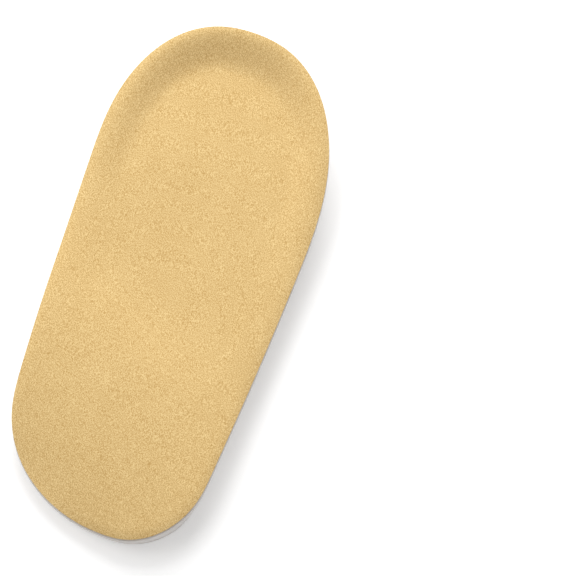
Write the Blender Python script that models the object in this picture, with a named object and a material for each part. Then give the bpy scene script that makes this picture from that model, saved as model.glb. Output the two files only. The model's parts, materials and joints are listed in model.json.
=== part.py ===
"""Gel heel lift: a moulded gel wedge with a dished heel seat, hexagonal pockets in its flat
underside, and a thin suede cover on top. The heel end points to +Y, the toe end to -Y, and the
underside lies at Z = 0 with the origin under the middle of the lift."""

import math
from collections import namedtuple

import bmesh
import bpy
from mathutils import Vector

# Plan of the cover, in metres
LENGTH = 0.1330
WIDTH = 0.0606
HEEL_ROUND_LEFT = 0.0394
HEEL_ROUND_RIGHT = 0.0493
HEEL_SKEW = -0.0018
HEEL_SQUARENESS = 2.26
TOE_ROUND_LEFT = 0.0277
TOE_ROUND_RIGHT = 0.0192
TOE_SKEW = 0.0096
TOE_SQUARENESS = 2.09
TAPER_FROM_HEEL = 0.0186
TOE_TAPER = 0.177
TAPER_POWER = 1.65

# Heights of the cover's top
RIM_HEIGHT = 0.0138
TOE_HEIGHT = 0.0038
DISH_DEPTH = 0.0009

# Rounded edge of the top, and the wall of the heel cup inside it
EDGE_ROUND = 0.0024
EDGE_DROP = 0.0004
CUP_WALL = 0.0080

# Cover and the gel's lip round it
COVER_THICKNESS = 0.0010
SEAT_GAP = 0.0003
GEL_LIP = 0.0001
LIP_HEIGHT = 0.0016

# Underside: how far its flat face lies inside the outline, where the side wall leans most
SIDE_LEAN = 0.0064

# Honeycomb pockets
POCKET_PITCH = 0.0062
POCKET_RIB = 0.0011
POCKET_DEPTH = 0.0032
POCKET_DRAFT = 0.0001
FIELD_LENGTH = 0.0520
FIELD_WIDTH = 0.0384
FIELD_SQUARENESS = 2.8
FIELD_FROM_HEEL = 0.0158
CUT_OVERRUN = 0.0010

# A pocket whose centre lies just outside the field's outline still shows as a clipped one
FIELD_REACH = 0.12

# How finely the lift is faceted
HEEL_STEPS = 12
SIDE_STEPS = 10
TOE_STEPS = 9
COLUMNS = 8
RINGS_ON_WALL = 5
FIELD_SIDES = 48

# Heights along the lift as shares of the rise from the toe end to the heel rim:
# seat is the top without the dish, cup is what the cup wall adds at the edge.
# edge is the share of the edge's rounding that is there: hardly any at the heel's tip.
# lean is the share of the side wall's lean: the thin toe end stands nearly upright.
Station = namedtuple("Station", "at seat cup edge lean")
STATIONS = (
    Station(at=0.00, seat=0.580, cup=0.420, edge=0.15, lean=1.00),
    Station(at=0.10, seat=0.550, cup=0.310, edge=0.60, lean=0.98),
    Station(at=0.22, seat=0.490, cup=0.200, edge=1.00, lean=0.95),
    Station(at=0.34, seat=0.440, cup=0.070, edge=1.00, lean=0.92),
    Station(at=0.46, seat=0.400, cup=0.030, edge=1.00, lean=0.90),
    Station(at=0.56, seat=0.400, cup=0.020, edge=1.00, lean=0.88),
    Station(at=0.64, seat=0.455, cup=0.000, edge=1.00, lean=0.84),
    Station(at=0.72, seat=0.490, cup=0.000, edge=1.00, lean=0.76),
    Station(at=0.82, seat=0.430, cup=0.000, edge=1.00, lean=0.46),
    Station(at=0.92, seat=0.250, cup=0.000, edge=1.00, lean=0.08),
    Station(at=1.00, seat=0.000, cup=0.000, edge=1.00, lean=0.05),
)

# The dish in the seat, as shares of the length and of half the width: deepest at one
# place, long and gentle towards the heel, short and steep towards the toe
DISH_AT = 0.56
DISH_TO_HEEL = 0.30
DISH_TO_TOE = 0.09
DISH_HALF_WIDTH = 0.74
DISH_SOFTNESS = 0.10

# The crest in front of the dish runs askew: the ramp starts earlier on the left side.
# Askew by this share of the length at the edge, growing between two places on the length.
CREST_SKEW = 0.13
SKEW_FROM = 0.15
SKEW_FULL = 0.85

# Rounded lip of the gel outside the cover: outward as a share of the lip,
# drop as a share of the lip's height
LipPoint = namedtuple("LipPoint", "outward drop")
LIP = (
    LipPoint(outward=0.0, drop=0.12),
    LipPoint(outward=0.7, drop=0.30),
    LipPoint(outward=1.0, drop=0.60),
    LipPoint(outward=0.9, drop=1.00),
)

# Where the edge is thin, the lip takes at most this share of its height
LIP_LIMIT = 0.70

# Side wall from the lip down to the flat face: inward as a share of the lean,
# height as a share of the height of the lip's foot
SidePoint = namedtuple("SidePoint", "inward height")
SIDE_WALL = (
    SidePoint(inward=0.14, height=0.80),
    SidePoint(inward=0.34, height=0.52),
    SidePoint(inward=0.52, height=0.28),
    SidePoint(inward=0.68, height=0.12),
    SidePoint(inward=0.84, height=0.03),
    SidePoint(inward=1.00, height=0.00),
)

SUEDE_TAN = (0.78, 0.56, 0.25, 1.0)
GEL_WHITE = (0.86, 0.85, 0.83, 1.0)


def clear_scene():
    for old in list(bpy.data.objects):
        bpy.data.objects.remove(old, do_unlink=True)


def material(name, colour, roughness):
    made = bpy.data.materials.new(name)
    made.use_nodes = True
    shader = made.node_tree.nodes["Principled BSDF"]
    shader.inputs["Base Color"].default_value = colour
    shader.inputs["Roughness"].default_value = roughness
    shader.inputs["Metallic"].default_value = 0.0
    return made


def superellipse_quarter(half_width, half_length, squareness, steps):
    """Points from the tip (0, half_length) to the side (half_width, 0)."""
    points = []
    for step in range(steps + 1):
        angle = 0.5 * math.pi * step / steps
        across = half_width * math.sin(angle) ** (2.0 / squareness)
        along = half_length * math.cos(angle) ** (2.0 / squareness)
        points.append((across, along))
    return points


def tapered(x, y):
    """Narrows the plan more and more towards the toe end."""
    start = 0.5 * LENGTH - TAPER_FROM_HEEL
    share = max(0.0, (start - y) / (start + 0.5 * LENGTH))
    return Vector((x * (1.0 - TOE_TAPER * share ** TAPER_POWER), y))


def half_outline(side, heel_round, toe_round):
    """One side of the plan, from the heel's tip to the toe's tip. side is +1 or -1."""
    half_width = 0.5 * WIDTH
    heel_centre = 0.5 * LENGTH - heel_round
    toe_centre = -0.5 * LENGTH + toe_round
    points = []
    heel = superellipse_quarter(half_width - side * HEEL_SKEW, heel_round,
                                HEEL_SQUARENESS, HEEL_STEPS)
    for across, along in heel:
        points.append((HEEL_SKEW + side * across, heel_centre + along))
    for step in range(1, SIDE_STEPS):
        y = heel_centre + (toe_centre - heel_centre) * step / SIDE_STEPS
        points.append((side * half_width, y))
    toe = superellipse_quarter(half_width - side * TOE_SKEW, toe_round, TOE_SQUARENESS, TOE_STEPS)
    for across, along in reversed(toe):
        points.append((TOE_SKEW + side * across, toe_centre - along))
    return [tapered(x, y) for x, y in points]


def outline():
    """The plan as one loop, centred: down the right side, then back up the left side."""
    right = half_outline(1, HEEL_ROUND_RIGHT, TOE_ROUND_RIGHT)
    left = half_outline(-1, HEEL_ROUND_LEFT, TOE_ROUND_LEFT)
    loop = right + left[-2:0:-1]
    middle = 0.5 * (min(point.x for point in loop) + max(point.x for point in loop))
    return [Vector((point.x - middle, point.y)) for point in loop]


def inward_normals(loop):
    normals = []
    for index, point in enumerate(loop):
        ahead = loop[(index + 1) % len(loop)]
        behind = loop[index - 1]
        run = (ahead - behind).normalized()
        normals.append(Vector((run.y, -run.x)))
    return normals


def heel_share(y):
    """0 at the heel's tip, 1 at the toe's tip."""
    return min(1.0, max(0.0, (0.5 * LENGTH - y) / LENGTH))


def station_slope(index, column):
    first = STATIONS[max(0, index - 1)]
    last = STATIONS[min(len(STATIONS) - 1, index + 1)]
    return (getattr(last, column) - getattr(first, column)) / (last.at - first.at)


def along_stations(share, column):
    """A smooth curve through one column of the stations."""
    index = 0
    while index < len(STATIONS) - 2 and STATIONS[index + 1].at < share:
        index += 1
    low, high = STATIONS[index], STATIONS[index + 1]
    span = high.at - low.at
    t = (share - low.at) / span
    start, end = getattr(low, column), getattr(high, column)
    rise_in, rise_out = station_slope(index, column) * span, station_slope(index + 1, column) * span
    return (start * (2 * t ** 3 - 3 * t ** 2 + 1) + rise_in * (t ** 3 - 2 * t ** 2 + t)
            + end * (3 * t ** 2 - 2 * t ** 3) + rise_out * (t ** 3 - t ** 2))


def eased(value):
    """0 below 0 and 1 above 1, with a soft start and end."""
    held = min(1.0, max(0.0, value))
    return held * held * (3.0 - 2.0 * held)


def skewed_share(x, y):
    """The share of the length that the ramp and the dish go by."""
    share = heel_share(y)
    skew = CREST_SKEW * eased((share - SKEW_FROM) / (SKEW_FULL - SKEW_FROM))
    return min(1.0, max(0.0, share - skew * x / (0.5 * WIDTH)))


def dish(x, y):
    """Depth of the shallow oval dish at a place in the plan, as a share of its full depth."""
    along = skewed_share(x, y) - DISH_AT
    along /= DISH_TO_TOE if along > 0 else DISH_TO_HEEL
    across = x / (DISH_HALF_WIDTH * 0.5 * WIDTH)
    left = 1.0 - along ** 2 - across ** 2
    return 0.5 * (left + math.sqrt(left ** 2 + DISH_SOFTNESS ** 2))


def top_height(x, y, from_edge):
    """Height of the cover's top at a place that lies from_edge inside the outline."""
    rise = RIM_HEIGHT - TOE_HEIGHT
    share = heel_share(y)
    wall_foot = EDGE_ROUND + CUP_WALL
    rounding = along_stations(share, "edge")
    round_here = EDGE_ROUND * rounding
    height = TOE_HEIGHT + rise * along_stations(skewed_share(x, y), "seat")
    down = eased((from_edge - round_here) / (wall_foot - round_here))
    height += rise * along_stations(share, "cup") * (1.0 - down)
    height -= DISH_DEPTH * dish(x, y) * min(1.0, from_edge / wall_foot)
    if from_edge < round_here:
        height -= EDGE_DROP * rounding * (1.0 - from_edge / round_here) ** 2
    return height


def ring_distances():
    """Distances of the rings of vertices from the outline, across the edge and the cup wall."""
    edge = [0.0, 0.3 * EDGE_ROUND, 0.65 * EDGE_ROUND, EDGE_ROUND]
    wall = [EDGE_ROUND + CUP_WALL * step / RINGS_ON_WALL for step in range(1, RINGS_ON_WALL + 1)]
    return edge + wall


def join_rings(sheet, outer, inner):
    count = len(outer)
    for index in range(count):
        following = (index + 1) % count
        sheet.faces.new((outer[index], outer[following], inner[following], inner[index]))


def fill_rows(sheet, ring):
    """Fills the last ring with rows that run straight across from its right to its left side."""
    half = len(ring) // 2
    rows = []
    for index in range(1, half):
        right, left = ring[index], ring[-index]
        row = [right]
        for column in range(1, COLUMNS):
            place = right.co.lerp(left.co, column / COLUMNS)
            place.z = top_height(place.x, place.y, EDGE_ROUND + CUP_WALL)
            row.append(sheet.verts.new(place))
        rows.append(row + [left])
    for upper, lower in zip(rows, rows[1:]):
        for column in range(COLUMNS):
            sheet.faces.new((upper[column], lower[column], lower[column + 1], upper[column + 1]))
    for column in range(COLUMNS):
        sheet.faces.new((ring[0], rows[0][column], rows[0][column + 1]))
        sheet.faces.new((ring[half], rows[-1][column + 1], rows[-1][column]))


def top_sheet():
    """The cover's top as an open sheet. Its first vertices are the outline, in order."""
    sheet = bmesh.new()
    plan = outline()
    inwards = inward_normals(plan)
    rings = []
    for distance in ring_distances():
        ring = []
        for point, inward in zip(plan, inwards):
            place = point + inward * distance
            ring.append(sheet.verts.new((place.x, place.y, top_height(place.x, place.y, distance))))
        rings.append(ring)
    for outer, inner in zip(rings, rings[1:]):
        join_rings(sheet, outer, inner)
    fill_rows(sheet, rings[-1])
    bmesh.ops.recalc_face_normals(sheet, faces=sheet.faces)
    sheet.faces.ensure_lookup_table()
    if sheet.faces[0].normal.z < 0:
        bmesh.ops.reverse_faces(sheet, faces=sheet.faces)
    sheet.normal_update()
    sheet.verts.index_update()
    sheet.verts.ensure_lookup_table()
    return sheet, len(plan)


def lowered_copy(body, sheet, depth, facing_up):
    """Adds a copy of the sheet to a body, pushed in by depth along its own normals."""
    copies = [body.verts.new(vert.co - vert.normal * depth) for vert in sheet.verts]
    for face in sheet.faces:
        corners = [copies[vert.index] for vert in face.verts]
        body.faces.new(corners if facing_up else reversed(corners))
    return copies


def finish_object(name, body, colour_material, sharp_angle):
    bmesh.ops.recalc_face_normals(body, faces=body.faces)
    mesh = bpy.data.meshes.new(name)
    body.to_mesh(mesh)
    body.free()
    mesh.materials.append(colour_material)
    mesh.shade_smooth()
    mesh.set_sharp_from_angle(angle=math.radians(sharp_angle))
    made = bpy.data.objects.new(name, mesh)
    bpy.context.scene.collection.objects.link(made)
    return made


def suede_cover():
    """A thin sheet that follows the dished top, cut square at the outline."""
    sheet, around = top_sheet()
    body = bmesh.new()
    upper = lowered_copy(body, sheet, 0.0, True)
    lower = lowered_copy(body, sheet, COVER_THICKNESS, False)
    join_rings(body, lower[:around], upper[:around])
    sheet.free()
    return finish_object("suede_cover", body, material("tan_suede", SUEDE_TAN, 0.9), 40)


def side_lean(y):
    """How far the flat underside lies inside the outline."""
    return SIDE_LEAN * along_stations(heel_share(y), "lean")


def lip_height(brim):
    """Height of the lip below a brim at this height above the floor."""
    return min(LIP_HEIGHT, LIP_LIMIT * brim)


def gel_solid():
    """The gel under the cover: top, rounded lip, leaning side wall and flat underside."""
    sheet, around = top_sheet()
    body = bmesh.new()
    top = lowered_copy(body, sheet, COVER_THICKNESS + SEAT_GAP, True)
    sheet.free()
    plan = outline()
    inwards = inward_normals(plan)
    edge = [vert.co.copy() for vert in top[:around]]
    above = top[:around]
    for row in LIP:
        ring = []
        for point, inward, brim in zip(plan, inwards, edge):
            place = point - inward * GEL_LIP * row.outward
            ring.append(body.verts.new((place.x, place.y, brim.z - lip_height(brim.z) * row.drop)))
        join_rings(body, ring, above)
        above = ring
    for row in SIDE_WALL:
        ring = []
        for point, inward, brim in zip(plan, inwards, edge):
            place = point + inward * side_lean(point.y) * row.inward
            foot = brim.z - lip_height(brim.z)
            ring.append(body.verts.new((place.x, place.y, foot * row.height)))
        join_rings(body, ring, above)
        above = ring
    body.faces.new(above)
    return finish_object("gel_body", body, material("clear_white_gel", GEL_WHITE, 0.35), 40)


def field_centre():
    return 0.5 * LENGTH - FIELD_FROM_HEEL - 0.5 * FIELD_LENGTH


def in_field(x, y):
    """Below 1 inside the honeycomb field's outline, above 1 outside it."""
    across = abs(x) / (0.5 * FIELD_WIDTH)
    along = abs(y - field_centre()) / (0.5 * FIELD_LENGTH)
    return across ** FIELD_SQUARENESS + along ** FIELD_SQUARENESS


def prism(body, corners_low, corners_high):
    low = [body.verts.new(corner) for corner in corners_low]
    high = [body.verts.new(corner) for corner in corners_high]
    join_rings(body, low, high)
    body.faces.new(reversed(low))
    body.faces.new(high)


def hexagon(x, y, z, radius):
    """Corners of a hexagon whose points lie along Y."""
    corners = []
    for corner in range(6):
        angle = math.radians(90 + 60 * corner)
        corners.append((x + radius * math.cos(angle), y + radius * math.sin(angle), z))
    return corners


def guide(name, body):
    made = finish_object(name, body, material(name + "_guide", GEL_WHITE, 0.5), 40)
    made.display_type = "WIRE"
    made.hide_render = True
    return made


def pocket_field():
    """Hexagonal pockets in rows across the lift, clipped by the outline of their field."""
    cells = bmesh.new()
    row_step = POCKET_PITCH * math.sqrt(3) / 2
    radius = (POCKET_PITCH - POCKET_RIB) / math.sqrt(3)
    rows = int(0.5 * FIELD_LENGTH / row_step) + 1
    columns = int(0.5 * FIELD_WIDTH / POCKET_PITCH) + 1
    for row in range(-rows, rows + 1):
        y = field_centre() + row * row_step
        for column in range(-columns, columns + 1):
            x = (column + 0.5 * (row % 2)) * POCKET_PITCH
            if in_field(x, y) < 1.0 + FIELD_REACH:
                prism(cells, hexagon(x, y, -CUT_OVERRUN, radius),
                      hexagon(x, y, POCKET_DEPTH, radius - POCKET_DRAFT))
    cutter = guide("pocket_cutter", cells)
    field = bmesh.new()
    edge = []
    for side in range(FIELD_SIDES):
        angle = 2 * math.pi * side / FIELD_SIDES
        across, along = math.cos(angle), math.sin(angle)
        x = 0.5 * FIELD_WIDTH * math.copysign(abs(across) ** (2.0 / FIELD_SQUARENESS), across)
        y = 0.5 * FIELD_LENGTH * math.copysign(abs(along) ** (2.0 / FIELD_SQUARENESS), along)
        edge.append((x, field_centre() + y))
    prism(field, [(x, y, -2 * CUT_OVERRUN) for x, y in edge],
          [(x, y, POCKET_DEPTH + CUT_OVERRUN) for x, y in edge])
    trim = guide("field_guide", field)
    clip = cutter.modifiers.new("clip to the field", "BOOLEAN")
    clip.operation = "INTERSECT"
    clip.object = trim
    return cutter


def gel_body():
    body = gel_solid()
    cut = body.modifiers.new("pockets", "BOOLEAN")
    cut.operation = "DIFFERENCE"
    cut.object = pocket_field()
    return body


clear_scene()
gel_body()
suede_cover()
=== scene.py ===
"""Looks of the gel heel lift: a moulded gel wedge under a thin suede cover, on a pale table.
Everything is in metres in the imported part's own frame: heel end to +Y, underside at Z = 0."""

import json
import math
from collections import namedtuple

import bmesh
import bpy
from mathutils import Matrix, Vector

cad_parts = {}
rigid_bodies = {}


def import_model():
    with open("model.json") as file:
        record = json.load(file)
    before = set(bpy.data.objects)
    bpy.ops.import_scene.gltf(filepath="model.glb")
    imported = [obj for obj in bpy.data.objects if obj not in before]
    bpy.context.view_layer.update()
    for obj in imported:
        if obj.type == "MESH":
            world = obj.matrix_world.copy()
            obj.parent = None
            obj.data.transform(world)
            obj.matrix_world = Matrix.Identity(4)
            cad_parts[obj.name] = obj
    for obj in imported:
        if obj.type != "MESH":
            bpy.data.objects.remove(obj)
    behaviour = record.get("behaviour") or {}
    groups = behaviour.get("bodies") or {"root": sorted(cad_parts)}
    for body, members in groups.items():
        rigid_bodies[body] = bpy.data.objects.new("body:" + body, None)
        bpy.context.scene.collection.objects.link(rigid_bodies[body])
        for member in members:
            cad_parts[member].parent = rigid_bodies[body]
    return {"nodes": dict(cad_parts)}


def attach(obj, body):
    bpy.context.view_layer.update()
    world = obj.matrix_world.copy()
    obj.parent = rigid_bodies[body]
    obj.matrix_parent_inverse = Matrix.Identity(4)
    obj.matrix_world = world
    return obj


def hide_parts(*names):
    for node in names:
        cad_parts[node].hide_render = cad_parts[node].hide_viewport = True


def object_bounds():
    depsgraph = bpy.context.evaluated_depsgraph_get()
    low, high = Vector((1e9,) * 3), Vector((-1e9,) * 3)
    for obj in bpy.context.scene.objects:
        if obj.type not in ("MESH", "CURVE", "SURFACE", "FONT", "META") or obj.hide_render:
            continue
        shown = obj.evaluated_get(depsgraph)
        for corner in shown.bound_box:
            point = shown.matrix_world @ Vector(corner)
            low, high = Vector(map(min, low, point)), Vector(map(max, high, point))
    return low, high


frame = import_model()
cad_low, cad_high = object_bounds()
bpy.ops.object.select_all(action="DESELECT")


# Gel body. One soft wedge of clear-white silicone gel, poured into a two-part mould. Pins in
# the mould leave the honeycomb of pockets in its underside, with rounded ribs between them,
# and the side walls lean in so that the lift comes out of the mould.

MERGE = 0.000002
SAME_PLANE = 0.00001
POCKET_ROUNDING = 0.00035
MOUTH_ROUNDING = 0.00028
ROUNDING_STEPS = 3
NARROWEST_WALL = 2.2 * POCKET_ROUNDING
SMALLEST_ROOF = 0.000006
MOUTH_OVERRUN = 0.001
GEL_SMOOTHING = 2
SAME_SIDE = math.radians(25)
SOFT_EDGE = math.radians(40)
STEEP = 0.5
NEARLY_LEVEL = 0.9
LEVEL = 0.9999


def pick(piece, parts, test):
    """In edit mode, selects those verts, edges or faces of the piece that pass a test."""
    bpy.ops.mesh.select_mode(type=parts[:-1].upper())
    bpy.ops.mesh.select_all(action="DESELECT")
    cage = bmesh.from_edit_mesh(piece.data)
    for element in getattr(cage, parts):
        if test(element):
            element.select_set(True)
    cage.select_flush_mode()
    bmesh.update_edit_mesh(piece.data)


def merged_copy(node, name):
    """A copy of a CAD node with its loose triangles joined into quads, in edit mode."""
    piece = bpy.data.objects.new(name, frame["nodes"][node].data.copy())
    piece.data.materials.clear()
    bpy.context.scene.collection.objects.link(piece)
    bpy.context.view_layer.objects.active = piece
    piece.select_set(True)
    bpy.ops.object.mode_set(mode="EDIT")
    bpy.ops.mesh.select_all(action="SELECT")
    bpy.ops.mesh.customdata_custom_splitnormals_clear()
    bpy.ops.mesh.remove_doubles(threshold=MERGE)
    bpy.ops.mesh.mark_sharp(clear=True)
    bpy.ops.mesh.tris_convert_to_quads(face_threshold=SAME_SIDE, shape_threshold=SOFT_EDGE)
    return piece


def finish_modifier(piece, kind, **settings):
    """Adds a modifier to the piece, in object mode, and applies it."""
    modifier = piece.modifiers.new(kind.lower(), kind)
    for name, value in settings.items():
        setattr(modifier, name, value)
    bpy.context.view_layer.objects.active = piece
    bpy.ops.object.modifier_apply(modifier=modifier.name)


def linear(hex_code):
    """An sRGB hex colour as the linear RGBA that a socket takes."""
    parts = [int(hex_code[place:place + 2], 16) / 255 for place in (1, 3, 5)]
    return [part / 12.92 if part <= 0.04045 else ((part + 0.055) / 1.055) ** 2.4
            for part in parts] + [1.0]


def add_node(tree, kind, inputs, **settings):
    """Adds a node with its settings, each input a value or another node's output."""
    made = tree.nodes.new(kind)
    for name, value in settings.items():
        setattr(made, name, value)
    for name, value in inputs.items():
        if isinstance(value, bpy.types.NodeSocket):
            tree.links.new(value, made.inputs[name])
        else:
            made.inputs[name].default_value = value
    return made


gel = merged_copy("gel_body", "moulded_gel_wedge")
pick(gel, "faces", lambda face: max(vert.co.z for vert in face.verts) < SAME_PLANE)
bpy.ops.mesh.delete(type="FACE")
pick(gel, "verts", lambda vert: vert.co.z > 0.5 * cad_high.z)
bpy.ops.mesh.select_linked()
bpy.ops.mesh.select_all(action="INVERT")
bpy.ops.mesh.separate(type="SELECTED")
bpy.ops.object.mode_set(mode="OBJECT")
pins = next(piece for piece in bpy.context.selected_objects if piece is not gel)

# The mould's shell is smoothed while its underside is open, so that the flat stays flat.
pins.select_set(False)
finish_modifier(gel, "SUBSURF", levels=GEL_SMOOTHING, render_levels=GEL_SMOOTHING)
bpy.ops.object.mode_set(mode="EDIT")
bpy.ops.mesh.select_all(action="SELECT")
bpy.ops.mesh.fill_holes(sides=0)
bpy.ops.object.mode_set(mode="OBJECT")


def has_room(edge):
    """A corner or a roof edge of a pin whose faces are wide enough to be rounded."""
    low, high = sorted(vert.co.z for vert in edge.verts)
    if low > roof_height:
        roof = max(face.calc_area() for face in edge.link_faces if face.normal.z > STEEP)
        return roof > SMALLEST_ROOF
    widths = [face.calc_area() / (high - low) for face in edge.link_faces if high > low]
    return high > roof_height and min(widths) > NARROWEST_WALL


# The pins of the mould: the pockets' own walls and roofs, closed below and rounded.
gel.select_set(False)
pins.select_set(True)
bpy.context.view_layer.objects.active = pins
roof_height = 0.9 * max(vert.co.z for vert in pins.data.vertices)
bpy.ops.object.mode_set(mode="EDIT")
pick(pins, "edges", lambda edge: edge.is_boundary)
bpy.ops.mesh.extrude_region_move(TRANSFORM_OT_translate={"value": (0, 0, -MOUTH_OVERRUN)})
bpy.ops.mesh.select_all(action="SELECT")
bpy.ops.mesh.fill_holes(sides=0)
bpy.ops.mesh.select_all(action="SELECT")
bpy.ops.mesh.dissolve_limited(angle_limit=math.radians(1))
bpy.ops.mesh.select_all(action="SELECT")
bpy.ops.mesh.normals_make_consistent(inside=False)
pick(pins, "edges", has_room)
bpy.ops.mesh.bevel(offset=POCKET_ROUNDING, segments=ROUNDING_STEPS, clamp_overlap=False)
bpy.ops.object.mode_set(mode="OBJECT")
pins.select_set(False)
finish_modifier(gel, "BOOLEAN", operation="DIFFERENCE", object=pins, solver="EXACT")
bpy.data.objects.remove(pins)


def is_flat(face):
    """A face of the flat underside."""
    return abs(face.normal.z) > LEVEL and max(vert.co.z for vert in face.verts) < SAME_PLANE


def is_mouth(edge):
    """An edge where the flat underside turns up into a pocket with a roof that is not tiny."""
    walls = [face for face in edge.link_faces if abs(face.normal.z) < STEEP]
    if len(walls) != 1 or not any(is_flat(face) for face in edge.link_faces):
        return False
    beside = [face for side in walls[0].edges for face in side.link_faces]
    roofs = [face for face in beside if abs(face.normal.z) > NEARLY_LEVEL and not is_flat(face)]
    return all(roof.calc_area() > SMALLEST_ROOF for roof in roofs)


bpy.context.view_layer.objects.active = gel
gel.select_set(True)
bpy.ops.object.mode_set(mode="EDIT")
bpy.ops.mesh.select_all(action="SELECT")
bpy.ops.mesh.remove_doubles(threshold=SAME_PLANE)
pick(gel, "faces", is_flat)
bpy.ops.mesh.dissolve_limited(angle_limit=math.radians(0.5))
pick(gel, "edges", is_mouth)
bpy.ops.mesh.bevel(offset=MOUTH_ROUNDING, segments=ROUNDING_STEPS, clamp_overlap=False)

# The flat is filled anew between the mouths, because one face round them all is drawn with gaps.
# The slits that this leaves are closed after it.
pick(gel, "faces", is_flat)
bpy.ops.mesh.delete(type="FACE")
pick(gel, "edges", lambda edge: edge.is_boundary)
bpy.ops.mesh.fill(use_beauty=True)
pick(gel, "edges", lambda edge: edge.is_boundary)
bpy.ops.mesh.fill_holes(sides=0)
bpy.ops.mesh.select_all(action="SELECT")
bpy.ops.mesh.normals_make_consistent(inside=False)
bpy.ops.object.mode_set(mode="OBJECT")
bpy.ops.object.shade_smooth_by_angle(angle=SOFT_EDGE)
finish_modifier(gel, "WEIGHTED_NORMAL", keep_sharp=True, weight=80)

# Platinum-cured silicone gel, moulded: milky and soft to the light, with a satin skin that
# takes a broad highlight, faint flow marks a few millimetres wide and a fine mould grain.
GEL_COLOUR = "#DAD5D0"
GEL_CLOUDY = "#D0CAC5"
GEL_DEPTH = 0.0025
FLOW_MARK = 0.009
MOULD_GRAIN = 0.0005

silicone = bpy.data.materials.new("moulded_clear_white_silicone_gel")
silicone.use_nodes = True
tree = silicone.node_tree
shader = tree.nodes["Principled BSDF"]
place = add_node(tree, "ShaderNodeTexCoord", {})
flow = add_node(tree, "ShaderNodeTexNoise", {"Vector": place.outputs["Object"], "Detail": 2.0,
                                             "Scale": 1 / FLOW_MARK})
grain = add_node(tree, "ShaderNodeTexNoise", {"Vector": place.outputs["Object"], "Detail": 3.0,
                                              "Scale": 1 / MOULD_GRAIN})
cloud = add_node(tree, "ShaderNodeMix", {"Factor": flow.outputs["Fac"], "A": linear(GEL_COLOUR),
                                         "B": linear(GEL_CLOUDY)}, data_type="RGBA")
satin = add_node(tree, "ShaderNodeMapRange", {"Value": flow.outputs["Fac"], "To Min": 0.26,
                                              "To Max": 0.42})
soft_flow = add_node(tree, "ShaderNodeBump", {"Height": flow.outputs["Fac"], "Strength": 0.25,
                                              "Distance": 0.0004})
skin = add_node(tree, "ShaderNodeBump", {"Height": grain.outputs["Fac"], "Strength": 0.12,
                                         "Distance": 0.00005, "Normal": soft_flow.outputs["Normal"]})
tree.links.new(cloud.outputs["Result"], shader.inputs["Base Color"])
tree.links.new(satin.outputs["Result"], shader.inputs["Roughness"])
tree.links.new(skin.outputs["Normal"], shader.inputs["Normal"])
shader.inputs["IOR"].default_value = 1.41
shader.inputs["Subsurface Weight"].default_value = 0.5
shader.inputs["Subsurface Radius"].default_value = (1.0, 0.95, 0.9)
shader.inputs["Subsurface Scale"].default_value = GEL_DEPTH
gel.data.materials.append(silicone)
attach(gel, "root")
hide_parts("gel_body")


# Suede cover. One sheet of tan microfibre suede, die-cut to the lift's outline and bonded to
# the gel all over, so that it follows the dish, the crest and the cup wall at the heel. Its
# edge is cut square and left raw.

COVER_BODY = 0.00125
COVER_SMOOTHING = 2
TOP_SLOPE = 0.6
CORNER = math.radians(50)
CUT_EDGE_ROUNDING = 0.00016

gel.select_set(False)
cover = merged_copy("suede_cover", "suede_top_cover")
pick(cover, "faces", lambda face: face.normal.z < TOP_SLOPE)
bpy.ops.mesh.delete(type="FACE")
bpy.ops.object.mode_set(mode="OBJECT")
finish_modifier(cover, "SUBSURF", levels=COVER_SMOOTHING, render_levels=COVER_SMOOTHING)
finish_modifier(cover, "SOLIDIFY", thickness=COVER_BODY, offset=-1.0, use_even_offset=True)
bpy.ops.object.mode_set(mode="EDIT")
pick(cover, "edges", lambda edge: edge.is_manifold and edge.calc_face_angle() > CORNER)
bpy.ops.mesh.bevel(offset=CUT_EDGE_ROUNDING, segments=2, clamp_overlap=True)
bpy.ops.object.mode_set(mode="OBJECT")
bpy.ops.object.shade_smooth_by_angle(angle=SOFT_EDGE)
# The sheet's sides, its cut edge, take the second material, whose darker colour is painted shade.
for face in cover.data.polygons:
    face.material_index = 1 if abs(face.normal.z) < STEEP else 0

# Microfibre suede, sanded: a dull tan nap of short fibres that lie a little to one side, so
# it is speckled close up and clouded further off, and glows softly at grazing angles.
SUEDE_MID = "#DEB974"
SUEDE_DARK = "#A07438"
SUEDE_LIGHT = "#FFE6AE"
SUEDE_BRUSHED = "#E4C07C"
NAP_GRAIN = 0.00030
NAP_CLOUD = 0.011
NAP_LEAN = math.radians(35)
NAP_STRETCH = 1.7

suede = bpy.data.materials.new("sanded_tan_microfibre_suede")
suede.use_nodes = True
tree = suede.node_tree
shader = tree.nodes["Principled BSDF"]
place = add_node(tree, "ShaderNodeTexCoord", {})
brushed = add_node(tree, "ShaderNodeMapping", {"Vector": place.outputs["Object"],
                                               "Rotation": (0.0, 0.0, NAP_LEAN),
                                               "Scale": (NAP_STRETCH, 1.0, 1.0)})
speckle = add_node(tree, "ShaderNodeTexNoise", {"Vector": brushed.outputs["Vector"], "Detail": 4.0,
                                                "Scale": 1 / NAP_GRAIN})
clouds = add_node(tree, "ShaderNodeTexNoise", {"Vector": brushed.outputs["Vector"], "Detail": 3.0,
                                               "Scale": 1 / NAP_CLOUD})
speckled = add_node(tree, "ShaderNodeValToRGB", {"Fac": speckle.outputs["Fac"]})
speckled.color_ramp.elements[0].position = 0.38
speckled.color_ramp.elements[0].color = linear(SUEDE_DARK)
speckled.color_ramp.elements[1].position = 0.62
speckled.color_ramp.elements[1].color = linear(SUEDE_LIGHT)
clouded = add_node(tree, "ShaderNodeValToRGB", {"Fac": clouds.outputs["Fac"]})
clouded.color_ramp.elements[0].position = 0.35
clouded.color_ramp.elements[0].color = linear(SUEDE_MID)
clouded.color_ramp.elements[1].position = 0.65
clouded.color_ramp.elements[1].color = linear(SUEDE_BRUSHED)
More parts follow.
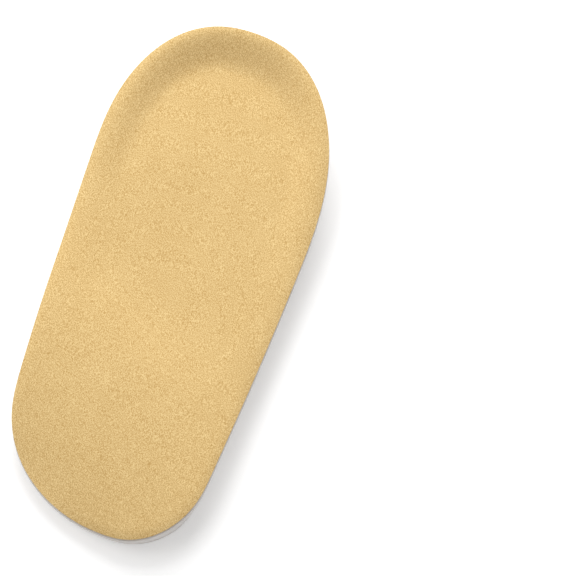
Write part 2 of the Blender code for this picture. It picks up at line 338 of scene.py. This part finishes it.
nap = add_node(tree, "ShaderNodeMix", {"Factor": 0.5, "A": speckled.outputs["Color"],
                                       "B": clouded.outputs["Color"]}, data_type="RGBA")
fibres = add_node(tree, "ShaderNodeBump", {"Height": speckle.outputs["Fac"], "Strength": 0.5,
                                           "Distance": 0.00012})
tree.links.new(nap.outputs["Result"], shader.inputs["Base Color"])
tree.links.new(fibres.outputs["Normal"], shader.inputs["Normal"])
shader.inputs["Roughness"].default_value = 0.95
shader.inputs["Specular IOR Level"].default_value = 0.2
shader.inputs["Sheen Weight"].default_value = 0.15
shader.inputs["Sheen Roughness"].default_value = 0.5
cover.data.materials.append(suede)

# The same microfibre where the die cut it: cut fibre ends and binder, given painted shade, a colour
# darker than the nap's, with the cut's fine layers along the edge.
SHADED_CUT_COLOUR = "#C2A06B"
SHADED_CUT_DARK = "#9C7A48"
CUT_LAYER = 0.00022

shaded_raw_edge = bpy.data.materials.new("die_cut_edge_of_the_suede_with_painted_shade")
shaded_raw_edge.use_nodes = True
tree = shaded_raw_edge.node_tree
shader = tree.nodes["Principled BSDF"]
place = add_node(tree, "ShaderNodeTexCoord", {})
layered = add_node(tree, "ShaderNodeMapping", {"Vector": place.outputs["Object"],
                                               "Scale": (0.3, 0.3, 1.0)})
layers = add_node(tree, "ShaderNodeTexNoise", {"Vector": layered.outputs["Vector"], "Detail": 3.0,
                                               "Scale": 1 / CUT_LAYER})
cut = add_node(tree, "ShaderNodeMix", {"Factor": layers.outputs["Fac"], "A": linear(SHADED_CUT_DARK),
                                       "B": linear(SHADED_CUT_COLOUR)}, data_type="RGBA")
frayed = add_node(tree, "ShaderNodeBump", {"Height": layers.outputs["Fac"], "Strength": 0.4,
                                           "Distance": 0.00008})
tree.links.new(cut.outputs["Result"], shader.inputs["Base Color"])
tree.links.new(frayed.outputs["Normal"], shader.inputs["Normal"])
shader.inputs["Roughness"].default_value = 0.9
shader.inputs["Specular IOR Level"].default_value = 0.2
cover.data.materials.append(shaded_raw_edge)
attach(cover, "root")
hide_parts("suede_cover")


# Table, light and camera. A white light table, lit a little from below, so that shadows on it
# stay pale. A soft lamp beyond the heel end rakes over the dish, and a higher one on the left
# throws the shadow to the right. The camera looks down from the toe end, a little from the
# right, and aims beside the lift, which lies left of the picture's middle.

CAMERA_AZIMUTH = math.radians(19.3)
CAMERA_ELEVATION = math.radians(72.0)
CAMERA_DISTANCE = 1.0
CAMERA_LENS = 249.8
AIM_RIGHT = 0.0292
TABLE_CLEARANCE = 0.00005
TABLE_GLOW = 0.2
ROOM_LIGHT = 0.50
Lamp = namedtuple("Lamp", "name place size power")
LAMPS = (
    Lamp(name="heel_lamp", place=(-0.17, 0.48, 0.36), size=0.42, power=3.2),
    Lamp(name="left_lamp", place=(-0.40, 0.07, 0.61), size=0.46, power=1.45),
)

bpy.ops.mesh.primitive_plane_add(size=4.0, location=(0.0, 0.0, -TABLE_CLEARANCE))
table = bpy.context.object
table.name = "white_table"
table_paint = bpy.data.materials.new("matt_white_table")
table_paint.use_nodes = True
tree = table_paint.node_tree
shader = tree.nodes["Principled BSDF"]
shader.inputs["Base Color"].default_value = linear("#F7F7F7")
shader.inputs["Roughness"].default_value = 0.9
shader.inputs["Emission Color"].default_value = linear("#FFFFFF")
shader.inputs["Emission Strength"].default_value = TABLE_GLOW
table.data.materials.append(table_paint)

for row in LAMPS:
    lamp = bpy.data.objects.new(row.name, bpy.data.lights.new(row.name, "AREA"))
    lamp.data.size = row.size
    lamp.data.energy = row.power
    lamp.location = row.place
    lamp.rotation_euler = Vector(row.place).to_track_quat("Z", "Y").to_euler()
    bpy.context.scene.collection.objects.link(lamp)

room = bpy.data.worlds.new("white_studio")
room.use_nodes = True
room.node_tree.nodes["Background"].inputs["Color"].default_value = (1.0, 1.0, 1.0, 1.0)
room.node_tree.nodes["Background"].inputs["Strength"].default_value = ROOM_LIGHT
bpy.context.scene.world = room
bpy.context.scene.view_settings.view_transform = "Standard"

towards_camera = Vector((math.sin(CAMERA_AZIMUTH) * math.cos(CAMERA_ELEVATION),
                         -math.cos(CAMERA_AZIMUTH) * math.cos(CAMERA_ELEVATION),
                         math.sin(CAMERA_ELEVATION)))
aim = Vector((math.cos(CAMERA_AZIMUTH), math.sin(CAMERA_AZIMUTH), 0.0)) * AIM_RIGHT
camera = bpy.data.objects.new("camera", bpy.data.cameras.new("camera"))
camera.data.lens = CAMERA_LENS
camera.data.clip_end = 10.0
camera.location = aim + towards_camera * CAMERA_DISTANCE
camera.rotation_euler = towards_camera.to_track_quat("Z", "Y").to_euler()
bpy.context.scene.collection.objects.link(camera)
bpy.context.scene.camera = camera
